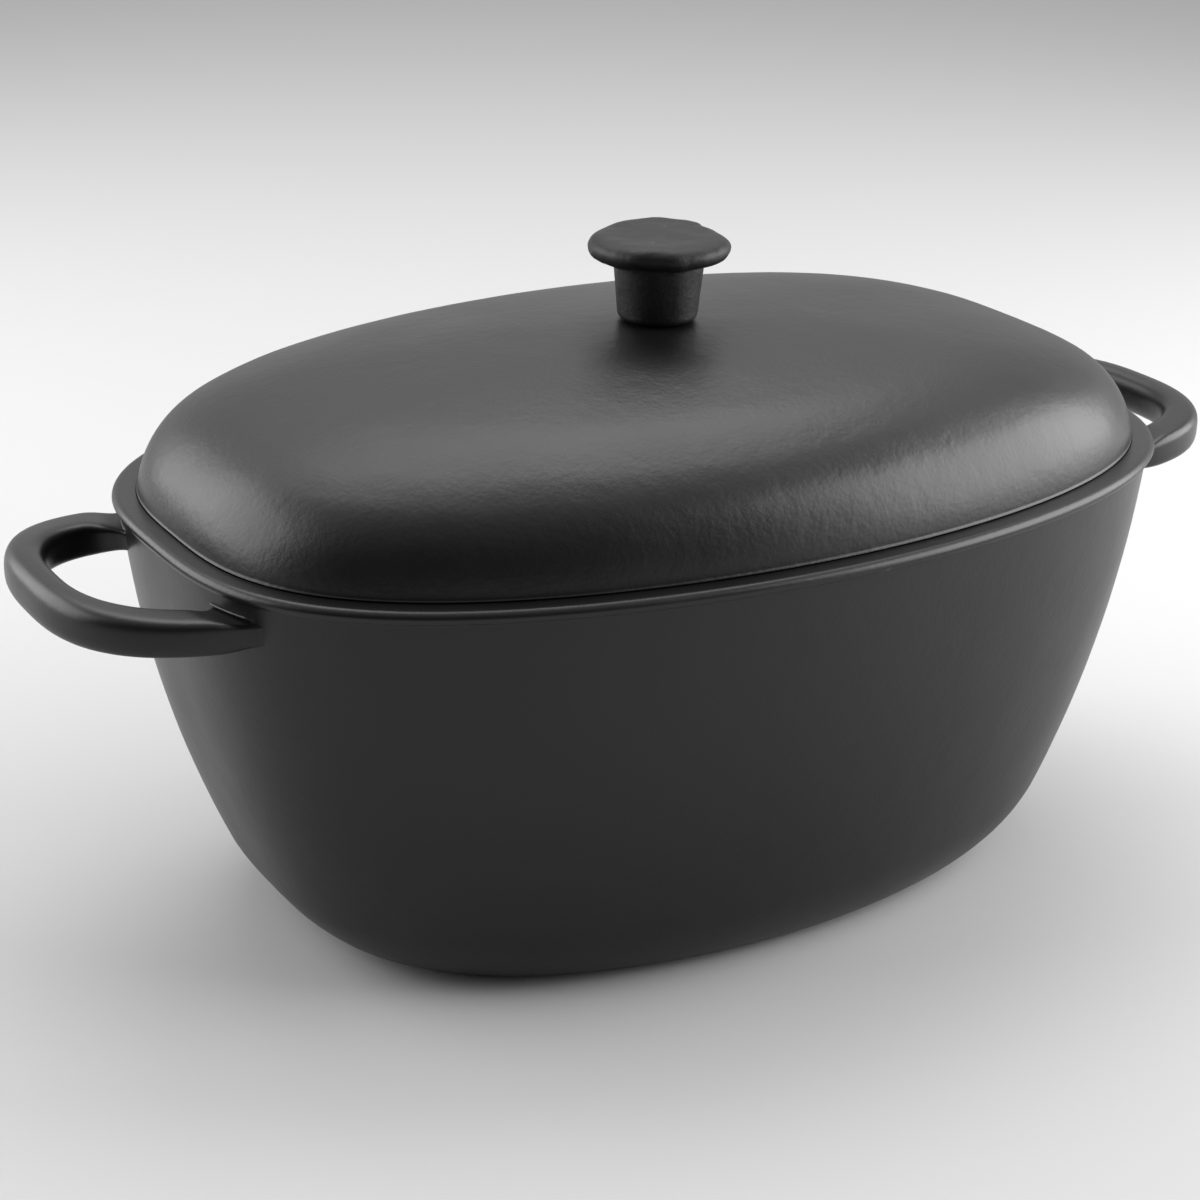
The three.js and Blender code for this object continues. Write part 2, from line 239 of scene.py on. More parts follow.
def rim_sections(wall_top, below_wall_top):
    """Over the rim: the lip's foot and round, the flat ledge, the lid's seat and the side of the mouth."""
    lip_foot = section(LIP_FOOT_INSET, RIM_Z - LIP_HEIGHT)
    lip_side = section(0, RIM_Z - LIP_ROUNDING)
    rim_edge = section(0, RIM_Z)
    ledge_end = section(SEAT_OUTER_INSET - SEAT_SLOPE_WIDTH, RIM_Z)
    seat_start = section(SEAT_OUTER_INSET, RIM_Z - SEAT_DEPTH)
    seat_end = section(MOUTH_INSET, RIM_Z - SEAT_DEPTH)
    mouth_side = section(MOUTH_INSET, RIM_Z - MOUTH_DEPTH)
    sections = rounded(wall_top, below_wall_top, lip_foot, WALL_TOP_ROUND)
    sections += rounded(lip_foot, wall_top, lip_side, LIP_FOOT_ROUND)
    for k in range(LIP_STEPS + 1):
        turn = math.pi / 2 * k / LIP_STEPS
        inset = LIP_ROUNDING * (1 - math.cos(turn))
        sections.append(section(inset, RIM_Z - LIP_ROUNDING * (1 - math.sin(turn))))
    sections += [section(inset, RIM_Z) for inset in LEDGE_INSETS]
    sections += rounded(ledge_end, rim_edge, seat_start, LEDGE_END_ROUND)
    sections += rounded(seat_start, ledge_end, seat_end, SEAT_CORNER_ROUND)
    sections += rounded(seat_end, seat_start, mouth_side, MOUTH_ROUND, 7)
    return sections + [mouth_side]


def cavity_sections(wall):
    """Down the inside of the wall and round to the edge of the flat floor."""
    sections = []
    for u, v, lean in wall:
        flatness = math.sin(math.radians(lean))
        thickness = WALL_THICKNESS + (FLOOR_THICKNESS - WALL_THICKNESS) * flatness ** 2
        sideways = thickness * math.cos(math.radians(lean))
        if v > CAVITY_TOP_DEPTH:
            inner = max(u + sideways, MOUTH_INSET)
            inner_side = max(side_inset_of(u) + sideways, MOUTH_INSET)
            sections.append(section(inner, RIM_Z - v + thickness * flatness, inner_side))
    return sections


def pot_profile():
    """Sections from the middle of the base up the outside, over the rim and down to the floor's middle."""
    wall = wall_path()
    outer = [section(u, RIM_Z - v, side_inset_of(u)) for u, v, _ in wall]
    foot_length, foot_width, _ = outer[-1]
    sections = [(0, 0, 0)] + [(foot_length * f, foot_width * f, 0) for f in FLAT_STEPS]
    sections += outer[:0:-1]
    sections += rim_sections(outer[0], outer[1])
    sections += cavity_sections(wall)
    length, width, z = sections[-1]
    sections += [(length * f, width * f, z) for f in FLAT_STEPS[::-1]]
    return sections + [(0, 0, z)]


def build_pot_shell():
    points, faces = loft([oval_ring(*s) for s in pot_profile()])
    pot = mesh_object("pot_casting", points, faces)
    roughen(pot, POT_WAVES,
            lambda p: smooth(p.z / POT_WAVES_FADE) * smooth((POT_WAVES_TOP - p.z) / POT_WAVES_FADE))
    return pot


# ------------------------------------------------------------------ handles

HANDLE_REACH = 35.75 * MM
HANDLE_HALF_SPAN = 48.2 * MM
HANDLE_ROOT_X = 168.6 * MM
HANDLE_POWER = 2.71
HANDLE_ROOT_DEPTH = 14.3 * MM
HANDLE_GRIP_DEPTH = 11 * MM
LEG_WIDTH = 14.9 * MM
LEG_HEIGHT = 11.3 * MM
LEG_SQUARENESS = 4.6
GRIP_WIDTH = 12.6 * MM
GRIP_HEIGHT = 15 * MM
GRIP_SQUARENESS = 2.4
BAR_POINTS = 56
HANDLE_RINGS = 150
ROOT_RINGS = 50
ROOT_LENGTH = 18 * MM

ROOT_FLARE_REACH = 13 * MM
ROOT_FLARE_INWARD = 5 * MM
ROOT_FLARE_OUTWARD = -1.2 * MM
ROOT_FLARE_DOWN = -1.8 * MM
ROOT_FLARE_UP = -1.9 * MM
ROOT_DIP = 3.6 * MM
ROOT_BURIED = 2.4 * MM
SIDE_FILLET = 4.5 * MM

RIDGE_DEPTH = 9.4 * MM
RIDGE_SPAN = (34.5 * MM, 53.7 * MM)
RIDGE_THICKNESS = 0.6 * MM
RIDGE_RINGS = 33
RIDGE_SIDES = 8


def handle_centre(t):
    """The bar's centreline from root to root as t goes from 0 to 1, and how far out it is, 0 to 1."""
    turn = math.pi * (t - 0.5)
    reach = RIM_HALF_LENGTH + HANDLE_REACH - HANDLE_ROOT_X
    out = max(math.cos(turn), 0) ** (2 / HANDLE_POWER)
    y = HANDLE_HALF_SPAN * math.copysign(abs(math.sin(turn)) ** (2 / HANDLE_POWER), turn)
    depth = HANDLE_ROOT_DEPTH + (HANDLE_GRIP_DEPTH - HANDLE_ROOT_DEPTH) * out
    return np.array([HANDLE_ROOT_X + reach * out, y, RIM_Z - depth]), out


def handle_samples():
    """Values of t spaced evenly along the bar, and more closely in the roots."""
    fine = np.linspace(0, 1, 1201)
    path = np.array([handle_centre(t)[0] for t in fine])
    length = np.concatenate([[0], np.cumsum(np.linalg.norm(np.diff(path, axis=0), axis=1))])
    root = np.linspace(0, ROOT_LENGTH, ROOT_RINGS, endpoint=False)
    middle = np.linspace(ROOT_LENGTH, length[-1] - ROOT_LENGTH, HANDLE_RINGS)
    places = np.concatenate([root, middle, length[-1] - root[::-1]])
    return np.interp(places, length, fine)


def bar_frame(t):
    """The bar's centre, its level outward and its upward direction, and how near the grip it is, 0 to 1."""
    centre, out = handle_centre(t)
    along = handle_centre(min(t + 1e-3, 1))[0] - handle_centre(max(t - 1e-3, 0))[0]
    outward = np.array([along[1], -along[0], 0.0])
    outward /= np.linalg.norm(outward)
    up = np.cross(along, outward)
    up *= math.copysign(1, up[2]) / np.linalg.norm(up)
    return centre, outward, up, out * out


def wall_section(depth):
    """Half length and half width of the wall's outside at a depth below the rim."""
    s = math.sin(math.radians(WALL_TOP_LEAN)) + (depth - LIP_HEIGHT) / WALL_RADIUS
    inset = LIP_OVERHANG + WALL_RADIUS * (math.cos(math.radians(WALL_TOP_LEAN)) - math.sqrt(1 - s * s))
    return RIM_HALF_LENGTH - inset, RIM_HALF_WIDTH - side_inset_of(inset)


def outside_wall(p):
    """About how far a point is outside the wall, and the wall's level normal there."""
    a, b = wall_section(max(RIM_Z - p[2], LIP_HEIGHT))
    x, y = abs(p[0]) / a, abs(p[1]) / b
    slope = np.array([math.copysign(LONG_POWER * x ** (LONG_POWER - 1) / a, p[0]),
                      math.copysign(WIDE_POWER * y ** (WIDE_POWER - 1) / b, p[1]), 0.0])
    steepness = np.linalg.norm(slope)
    return (x ** LONG_POWER + y ** WIDE_POWER - 1) / steepness, slope / steepness


def fillet_push(gap, radius):
    """How far a round of this radius stands off a face, this far above the wall that it runs into."""
    left = min(max(radius - gap, 0.0), radius)
    return radius - math.sqrt(radius * radius - left * left)


def shape_root(p, outward, up, side, rise):
    """Moves a point of the bar to give the root its flare, its dip on top and its fillet along the wall.

    side and rise say where the point is on the bar's section, each from -1 to 1. Its end stays buried in
    the wall's thickness."""
    gap, normal = outside_wall(p)
    near = max(0.0, min(1.0, 1 - gap / ROOT_FLARE_REACH)) ** 2
    sideways = ROOT_FLARE_OUTWARD if side > 0 else ROOT_FLARE_INWARD
    if rise > 0:
        vertical = ROOT_FLARE_UP * near - ROOT_DIP * near * (1 - near)
    else:
        vertical = ROOT_FLARE_DOWN * near
    along_wall = outward - normal * outward.dot(normal)
    p = p + outward * (side * sideways * near) + up * (rise * vertical)
    p = p + along_wall * (side * fillet_push(gap, SIDE_FILLET))
    gap, normal = outside_wall(p)
    return p + normal * max(0.0, -ROOT_BURIED - gap)


def build_handle(name, end):
    """The loop handle at the end of the pot towards +X or -X, as end is 1 or -1."""
    rings = []
    for t in handle_samples():
        centre, outward, up, grip = bar_frame(t)
        width = LEG_WIDTH + (GRIP_WIDTH - LEG_WIDTH) * grip
        height = LEG_HEIGHT + (GRIP_HEIGHT - LEG_HEIGHT) * grip
        power = 2 / (LEG_SQUARENESS + (GRIP_SQUARENESS - LEG_SQUARENESS) * grip)
        ring = []
        for k in range(BAR_POINTS):
            turn = 2 * math.pi * k / BAR_POINTS
            c, s = math.cos(turn), math.sin(turn)
            across = math.copysign(abs(c) ** power, c) * width / 2
            upward = math.copysign(abs(s) ** power, s) * height / 2
            p = shape_root(centre + outward * across + up * upward, outward, up, c, s)
            ring.append((end * p[0], end * p[1], p[2]))
        rings.append(ring)
    points, faces = loft(rings)
    last = len(points) - BAR_POINTS
    faces.append(tuple(range(BAR_POINTS)))
    faces.append(tuple(range(last + BAR_POINTS - 1, last - 1, -1)))
    return mesh_object(name, points, [face[::-1] for face in faces])


def build_ridge(name, end, side):
    """The sharp arris that the casting leaves where the top of a handle's leg runs into the wall."""
    a, b = wall_section(RIDGE_DEPTH)
    rings = []
    for f in np.linspace(0, 1, RIDGE_RINGS):
        y = RIDGE_SPAN[0] + (RIDGE_SPAN[1] - RIDGE_SPAN[0]) * f
        x = a * (1 - (y / b) ** WIDE_POWER) ** (1 / LONG_POWER)
        taper = RIDGE_THICKNESS * min(1, 8 * f + 0.2, 6 * (1 - f) + 0.1)
        normal = Vector((LONG_POWER * (x / a) ** (LONG_POWER - 1) / a,
                         WIDE_POWER * (y / b) ** (WIDE_POWER - 1) / b, 0))
        normal.normalize()
        ring = []
        for k in range(RIDGE_SIDES):
            turn = 2 * math.pi * k / RIDGE_SIDES
            out = taper * (0.9 * math.cos(turn) + 0.2)
            z = RIM_Z - RIDGE_DEPTH + taper * 0.8 * math.sin(turn)
            ring.append((end * (x + normal.x * out), side * (y + normal.y * out), z))
        rings.append(ring)
    points, faces = loft(rings)
    last = len(points) - RIDGE_SIDES
    faces.append(tuple(range(RIDGE_SIDES)))
    faces.append(tuple(range(last + RIDGE_SIDES - 1, last - 1, -1)))
    if end * side > 0:
        faces = [face[::-1] for face in faces]
    return mesh_object(name, points, faces)


# ------------------------------------------------------------------ lid

LID_HALF_LENGTH = RIM_HALF_LENGTH - LID_INSET
LID_HALF_WIDTH = RIM_HALF_WIDTH - LID_INSET
LID_EDGE_HEIGHT = 1.5 * MM
LID_EDGE_Z = RIM_Z + LID_EDGE_HEIGHT
LID_EDGE_SLOPE = 81.7
LID_EDGE_UNDERCUT = 0.3 * MM
LID_THICKNESS = 4.2 * MM
LID_SEAT_GAP = 0.3 * MM
SHOULDER_ARCS = ((33 * MM, 28.5), (84 * MM, 18.5), (203 * MM, 7.9))
DOME_STEP = 1.6 * MM
DOME_HOLE = 5 * MM
INSIDE_HOLE = 6 * MM

# The bead round the foot of the lid's edge, which stands just clear of the pot's ledge.
EDGE_GAP = 0.06 * MM
EDGE_BEAD = 0.3 * MM
BEAD_STEPS = 8

RIB_INSET = 12.4 * MM
RIB_WIDTH = 4 * MM
RIB_DEPTH = 5.5 * MM
RIB_TAPER = 0.5 * MM
RIB_CLEAR = 1.5 * MM
RIB_TOP_ROUND = 3 * MM
RIB_FOOT_ROUND = 1.4 * MM
RIB_ROOT_ROUND = 0.8 * MM
LID_FOOT_ROUND = 0.4 * MM

SCREW_HOLE_RADIUS = 3.3 * MM
BOSS_RADIUS = 15 * MM
BOSS_FOOT_Z = WASHER_TOP_Z + 0.22 * MM
BOSS_FOOT_ROUND = 1.2 * MM
BOSS_ROOT_ROUND = 1.8 * MM
BOSS_ROOT_DROP = 1.6 * MM
BOSS_HOLE_BREAK = 0.4 * MM
BOSS_AROUND = 120

LID_WAVES = ((20 * MM, 0.10 * MM), (5 * MM, 0.03 * MM))
LID_WAVES_FOOT = RIM_Z + 2.5 * MM
LID_WAVES_FADE = 5 * MM
LID_BOSS_FADE = 6 * MM


def dome_path():
    """(way in from the edge, height, slope from the horizontal) of the lid's outside."""
    points = [(0.0, 0.0, LID_EDGE_SLOPE)]
    u, v, slope = points[0]
    arcs = list(SHOULDER_ARCS)
    while arcs:
        radius, end = arcs.pop(0)
        count = max(4, round(radius * math.radians(slope - end) / DOME_STEP))
        start = math.radians(slope)
        for k in range(1, count + 1):
            now = math.radians(slope + (end - slope) * k / count)
            points.append((u + radius * (math.sin(start) - math.sin(now)),
                           v + radius * (math.cos(now) - math.cos(start)), math.degrees(now)))
        u, v, slope = points[-1]
        if not arcs and slope > 0:
            arcs.append(((LID_HALF_LENGTH - u) / math.sin(math.radians(slope)), 0))
    return points


def dome_section(inward, z):
    """A level section of the dome, which shrinks in proportion towards the crown."""
    scale = max(0.0, 1 - inward / LID_HALF_LENGTH)
    return (LID_HALF_LENGTH * scale, LID_HALF_WIDTH * scale, z)


def lid_inside_sections(path):
    """The inside of the dome, from the screw hole to the top of the rib."""
    inside = []
    rib_top = RIB_INSET + RIB_WIDTH - LID_INSET + RIB_CLEAR
    for inward, height, slope in path[::2]:
        under = inward + LID_THICKNESS * math.sin(math.radians(slope))
        if rib_top < under < LID_HALF_LENGTH - INSIDE_HOLE:
            z = LID_EDGE_Z + height - LID_THICKNESS * math.cos(math.radians(slope))
            inside.append(dome_section(under, z))
    return inside[::-1]


def lid_foot_sections(inside_end):
    """Round the rib that centres the lid in the mouth, the foot that stands on the seat, and the bead."""
    foot_z = LID_LOW.z + RIB_DEPTH - SEAT_DEPTH + LID_SEAT_GAP
    rib_inner = RIB_INSET + RIB_WIDTH
    rib_top = section(rib_inner, RIM_Z)
    rib_in = section(rib_inner - RIB_TAPER, LID_LOW.z)
    rib_out = section(RIB_INSET + RIB_TAPER, LID_LOW.z)
    rib_root = section(RIB_INSET, foot_z)
    edge_low = section(LID_INSET + LID_EDGE_UNDERCUT, foot_z)
    edge_high = section(LID_INSET + LID_EDGE_UNDERCUT, RIM_Z + EDGE_GAP)
    sections = rounded(rib_top, inside_end, rib_in, RIB_TOP_ROUND)
    sections += rounded(rib_in, rib_top, rib_out, RIB_FOOT_ROUND)
    sections += rounded(rib_out, rib_in, rib_root, RIB_FOOT_ROUND)
    sections += rounded(rib_root, rib_out, edge_low, RIB_ROOT_ROUND)
    sections += rounded(edge_low, rib_root, edge_high, LID_FOOT_ROUND)
    sections += [edge_high]
    for k in range(BEAD_STEPS + 1):
        turn = math.radians(-90 + 170 * k / BEAD_STEPS)
        z = RIM_Z + EDGE_GAP + EDGE_BEAD * (1 + math.sin(turn))
        sections.append(section(LID_INSET - EDGE_BEAD * math.cos(turn), z))
    return sections


def lid_profile():
    """Sections from the screw hole under the crown, down the inside, round the edge and up to the crown."""
    path = dome_path()
    inside = lid_inside_sections(path)
    outside = [dome_section(u, LID_EDGE_Z + v) for u, v, _ in path if u < LID_HALF_LENGTH - DOME_HOLE]
    return inside + lid_foot_sections(inside[-1]) + outside


def build_lid():
    rings = [oval_ring(*s) for s in lid_profile()]
    points, faces = loft(rings, closed_profile=True)
    lid = mesh_object("lid_casting", points, faces)
    roughen(lid, LID_WAVES,
            lambda p: (smooth((p.z - LID_WAVES_FOOT) / LID_WAVES_FADE)
                       * smooth((p.xy.length - BOSS_RADIUS) / LID_BOSS_FADE)))
    return lid


def build_boss():
    """The boss cast under the lid's crown, with the screw's hole through it. Its top is inside the wall."""
    under, top = LID_HIGH.z - LID_THICKNESS, LID_HIGH.z - LID_THICKNESS / 2
    hole, side = SCREW_HOLE_RADIUS, BOSS_RADIUS
    profile = [(hole, top), (hole, BOSS_FOOT_Z + BOSS_HOLE_BREAK),
               (hole + BOSS_HOLE_BREAK / 4, BOSS_FOOT_Z + BOSS_HOLE_BREAK / 4),
               (hole + BOSS_HOLE_BREAK, BOSS_FOOT_Z), (side - BOSS_FOOT_ROUND, BOSS_FOOT_Z)]
    for k in range(1, 6):
        turn = math.pi / 2 * k / 5
        profile.append((side - BOSS_FOOT_ROUND * (1 - math.sin(turn)),
                        BOSS_FOOT_Z + BOSS_FOOT_ROUND * (1 - math.cos(turn))))
    for k in range(1, 8):
        turn = math.pi / 2 * k / 7
        profile.append((side + BOSS_ROOT_ROUND * (1 - math.cos(turn)),
                        under - BOSS_ROOT_DROP + BOSS_ROOT_ROUND * math.sin(turn)))
    profile.append((side + BOSS_ROOT_ROUND, top))
    rings = [round_ring(x, z, BOSS_AROUND) for x, z in profile]
    return mesh_object("lid_boss", *loft(rings, closed_profile=True))


# ------------------------------------------------------------------ knob

KNOB_BASE_Z = KNOB_LOW.z
KNOB_TOP_Z = KNOB_HIGH.z
KNOB_CAP_RADIUS = KNOB_HIGH.x
KNOB_FOOT_RADIUS = 13.7 * MM
KNOB_FOOT_ROUND = 2.4 * MM
KNOB_NECK_RADIUS = 15.4 * MM
KNOB_NECK_Z = KNOB_TOP_Z - 9.2 * MM
KNOB_RIM_Z = KNOB_TOP_Z - 4.2 * MM
KNOB_RIM_ROUND = 3.6 * MM
KNOB_RIM_ROLL = 6.5 * MM
KNOB_RIM_RISE = 4.1 * MM
KNOB_DISH = 0.6 * MM
KNOB_HOLE_TOP_Z = KNOB_BASE_Z + 15 * MM
KNOB_AROUND = 200

KNOB_WAVES = ((6 * MM, 0.12 * MM),)
KNOB_CAP_WAVES = ((17 * MM, 0.9 * MM), (6 * MM, 0.2 * MM), (2.4 * MM, 0.06 * MM))
KNOB_PATCH_WAVES = ((3.5 * MM, 0.4 * MM), (1.6 * MM, 0.15 * MM))
KNOB_PATCH = Vector((-3.6 * MM, 11.5 * MM))
KNOB_PATCH_REACH = 9 * MM
KNOB_STEP_BEARING = 15
KNOB_STEP = 0.8 * MM
KNOB_STEP_RISE = 0.6


def knob_profile():
    """(radius, height) from the screw hole's top, out across the foot, up the stem and over the cap."""
    hole, foot, neck = SCREW_HOLE_RADIUS, KNOB_FOOT_RADIUS, KNOB_NECK_RADIUS
    profile = [(0, KNOB_HOLE_TOP_Z), (hole, KNOB_HOLE_TOP_Z)]
    profile += [(hole, KNOB_BASE_Z + 0.5 * MM), (hole + 0.6 * MM, KNOB_BASE_Z)]
    profile += [(foot - KNOB_FOOT_ROUND, KNOB_BASE_Z)]
    for k in range(1, 8):
        turn = math.pi / 2 * k / 7
        profile.append((foot - KNOB_FOOT_ROUND * (1 - math.sin(turn)),
                        KNOB_BASE_Z + KNOB_FOOT_ROUND * (1 - math.cos(turn))))
    stem_z = KNOB_BASE_Z + KNOB_FOOT_ROUND
    for k in range(1, 13):
        profile.append((foot + (neck - foot) * k / 12, stem_z + (KNOB_NECK_Z - stem_z) * k / 12))
    rim = []
    for k in range(19):
        turn = math.radians(-65 + 155 * k / 18)
        roll, rise = (KNOB_RIM_ROLL, KNOB_RIM_RISE) if turn > 0 else (KNOB_RIM_ROUND, KNOB_RIM_ROUND)
        rim.append((KNOB_CAP_RADIUS - roll * (1 - math.cos(turn)), KNOB_RIM_Z + rise * math.sin(turn)))
    start, bend, end = (neck, KNOB_NECK_Z), (neck + 0.6 * MM, KNOB_NECK_Z + 1.6 * MM), rim[0]
    for k in range(1, 10):
        f = k / 10
        profile.append(tuple((1 - f) ** 2 * start[i] + 2 * f * (1 - f) * bend[i] + f * f * end[i]
                             for i in (0, 1)))
    profile += rim
    flat_z = KNOB_RIM_Z + KNOB_RIM_RISE
    for k in range(1, 14):
        f = 1 - k / 13
        profile.append((f * (KNOB_CAP_RADIUS - KNOB_RIM_ROLL), flat_z - KNOB_DISH * (1 - f * f) ** 2))
    return profile


def outside_hole(p):
    return p.z > KNOB_HOLE_TOP_Z + MM or p.xy.length > 2 * SCREW_HOLE_RADIUS


def above_foot(p):
    return smooth((p.z - KNOB_BASE_Z - 0.3 * MM) / (3 * MM)) * outside_hole(p)


def on_cap(p):
    return smooth((p.z - KNOB_NECK_Z + 1.5 * MM) / (3 * MM)) * outside_hole(p)


def on_rough_patch(p):
    return on_cap(p) * smooth(1.3 - (p.xy - KNOB_PATCH).length / KNOB_PATCH_REACH)


def step_back_edge(knob):
    """Swells the back of the cap's edge, which ends in a small step at one side."""
    for vertex in knob.data.vertices:
        p = vertex.co
        bearing = math.degrees(math.atan2(p.y, p.x)) - KNOB_STEP_BEARING
        swell = smooth(bearing / 7) * smooth((110 - bearing) / 60)
        swell *= smooth((p.z - KNOB_RIM_Z + MM) / (3 * MM))
        swell *= smooth((p.xy.length - KNOB_CAP_RADIUS + 9 * MM) / (5 * MM))
        if swell > 0:
            vertex.co += KNOB_STEP * swell * (p.xy.to_3d().normalized() + Vector((0, 0, KNOB_STEP_RISE)))


def build_knob():
    points, faces = loft([round_ring(x, z, KNOB_AROUND) for x, z in knob_profile()])
    knob = mesh_object("knob_casting", points, faces)
    roughen(knob, KNOB_WAVES, above_foot)
    roughen(knob, KNOB_CAP_WAVES, on_cap)
    roughen(knob, KNOB_PATCH_WAVES, on_rough_patch)
    step_back_edge(knob)
    return knob


# ------------------------------------------------------------------ materials

IRON_BLACK = 0.004
# Lighter grey for sharp edges: bare iron where the seasoning wore off, and also a painted highlight along
# the arrises.
BARE_IRON_AND_HIGHLIGHT = (0.09, 0.09, 0.09, 1)
IRON_PATCHES = 14
# Scale of the spots on the worn edges and on their painted highlight.
WEAR_AND_HIGHLIGHT_SPOTS = 1100
STEEL_GRAIN = 900


def nodes_of(name):
    material = bpy.data.materials.new(name)
    material.use_nodes = True
    tree = material.node_tree
    return material, tree, tree.nodes["Principled BSDF"]


def add(tree, kind, **values):
    """A node with its inputs or settings given by name."""
    node = tree.nodes.new(kind)
    for key, value in values.items():
        if key in node.inputs:
            node.inputs[key].default_value = value
        else:
            setattr(node, key, value)
    return node


def noise_at(tree, coords, scale, detail=3.0, rough=0.5):
    node = add(tree, "ShaderNodeTexNoise", Scale=scale, Detail=detail, Roughness=rough)
    tree.links.new(coords, node.inputs["Vector"])
    return node.outputs["Fac"]


def ramp(tree, value, low, high, out_low, out_high):
    node = add(tree, "ShaderNodeMapRange")
    node.inputs["From Min"].default_value = low
    node.inputs["From Max"].default_value = high
    node.inputs["To Min"].default_value = out_low
    node.inputs["To Max"].default_value = out_high
    tree.links.new(value, node.inputs["Value"])
    return node.outputs["Result"]


def edge_wear_and_highlight(tree, coords):
    """Where sharp edges have lost their seasoning, in spots; the same lighter grey is also a painted
    highlight along those edges.
    """
    edges = add(tree, "ShaderNodeNewGeometry").outputs["Pointiness"]
    sharp_edges = ramp(tree, edges, 0.54, 0.62, 0, 1)
    spots = ramp(tree, noise_at(tree, coords, WEAR_AND_HIGHLIGHT_SPOTS, 2), 0.42, 0.62, 0, 0.8)
    wear_and_highlight = add(tree, "ShaderNodeMath", operation="MULTIPLY")
    tree.links.new(sharp_edges, wear_and_highlight.inputs[0])
    tree.links.new(spots, wear_and_highlight.inputs[1])
    return wear_and_highlight.outputs[0]


def iron(name, grain_scale, grain_depth, roughness, index=1.45):
    """Seasoned black cast iron: a sand-cast grain, slow changes of tone and gloss, and worn edges that also
    carry a painted highlight.
    """
    material, tree, shader = nodes_of(name)
    coords = add(tree, "ShaderNodeTexCoord").outputs["Object"]
    patches = noise_at(tree, coords, IRON_PATCHES, 4)
    fine = noise_at(tree, coords, grain_scale, 2, 0.55)
    coarse = noise_at(tree, coords, grain_scale * 0.3, 2, 0.5)
    tone = add(tree, "ShaderNodeMix", data_type="RGBA")
    tone.inputs["A"].default_value = (IRON_BLACK * 0.7, IRON_BLACK * 0.7, IRON_BLACK * 0.71, 1)
    tone.inputs["B"].default_value = (IRON_BLACK * 1.4, IRON_BLACK * 1.39, IRON_BLACK * 1.4, 1)
    tree.links.new(patches, tone.inputs["Factor"])
    gloss = ramp(tree, patches, 0.3, 0.7, roughness - 0.04, roughness + 0.05)
    tree.links.new(gloss, shader.inputs["Roughness"])
    # Sharp edges turn lighter grey: partly worn seasoning, partly a painted highlight.
    bared_and_highlit = add(tree, "ShaderNodeMix", data_type="RGBA")
    bared_and_highlit.inputs["B"].default_value = BARE_IRON_AND_HIGHLIGHT
    tree.links.new(edge_wear_and_highlight(tree, coords), bared_and_highlit.inputs["Factor"])
    tree.links.new(tone.outputs["Result"], bared_and_highlit.inputs["A"])
    tree.links.new(bared_and_highlit.outputs["Result"], shader.inputs["Base Color"])
    bump_fine = add(tree, "ShaderNodeBump", Strength=1.0, Distance=grain_depth)
    bump_coarse = add(tree, "ShaderNodeBump", Strength=1.0, Distance=grain_depth * 1.5)
    tree.links.new(coarse, bump_coarse.inputs["Height"])
    tree.links.new(fine, bump_fine.inputs["Height"])
    tree.links.new(bump_coarse.outputs["Normal"], bump_fine.inputs["Normal"])
    tree.links.new(bump_fine.outputs["Normal"], shader.inputs["Normal"])
    shader.inputs["IOR"].default_value = index
    return material


def steel(name):
    material, tree, shader = nodes_of(name)
    coords = add(tree, "ShaderNodeTexCoord").outputs["Object"]
    fine = noise_at(tree, coords, STEEL_GRAIN, 3)
    shader.inputs["Metallic"].default_value = 1.0
    tone = add(tree, "ShaderNodeMix", data_type="RGBA")
    tone.inputs["A"].default_value = (0.4, 0.4, 0.41, 1)
    tone.inputs["B"].default_value = (0.6, 0.6, 0.61, 1)
    tree.links.new(fine, tone.inputs["Factor"])
    tree.links.new(tone.outputs["Result"], shader.inputs["Base Color"])
    tree.links.new(ramp(tree, fine, 0.3, 0.7, 0.28, 0.45), shader.inputs["Roughness"])
    return material


def plain(name, colour, roughness):
    material, _, shader = nodes_of(name)
    shader.inputs["Base Color"].default_value = (*colour, 1)
    shader.inputs["Roughness"].default_value = roughness
    shader.inputs["Specular IOR Level"].default_value = 0.2
    return material


# ------------------------------------------------------------------ stage, light and camera

CAMERA_AZIMUTH = 31.0
CAMERA_ELEVATION = 22.34
CAMERA_ROLL = 1.22
CAMERA_PLACE = Vector((-0.4564, -0.7193, RIM_Z + 0.2943))
CAMERA_LENS = 78.0
CAMERA_SHIFT = (0.0084, -0.0011)

FLOOR_HALF_SIZE = 6
FLOOR_Z = -0.0002
FLOOR_TONE = (0.52, 0.52, 0.52)

# Level directions from straight behind the object and to its right, as the camera sees it.
BEHIND = Vector((math.sin(math.radians(CAMERA_AZIMUTH)), math.cos(math.radians(CAMERA_AZIMUTH)), 0))
TO_RIGHT = Vector((BEHIND.y, -BEHIND.x, 0))

# Softboxes: bearing from straight behind the object, clockwise, elevation, distance, size, power.
SOFTBOXES = (
    ("softbox_right", 85, 21, 1.25, (1.3, 1.0), 25),
    ("softbox_left", -84, 23, 1.25, (1.35, 0.9), 15),
    ("softbox_top", -5, 64, 1.6, (1.5, 1.0), 13.5),
)
SOFTBOX_CENTRE_Z = 0.1
SOFTBOX_TARGET = Vector((0, 0, 0.12))
FRONT_GLOW = 0.05
BEHIND_GLOW = 0.75
OVERHEAD_GLOW = 0.4


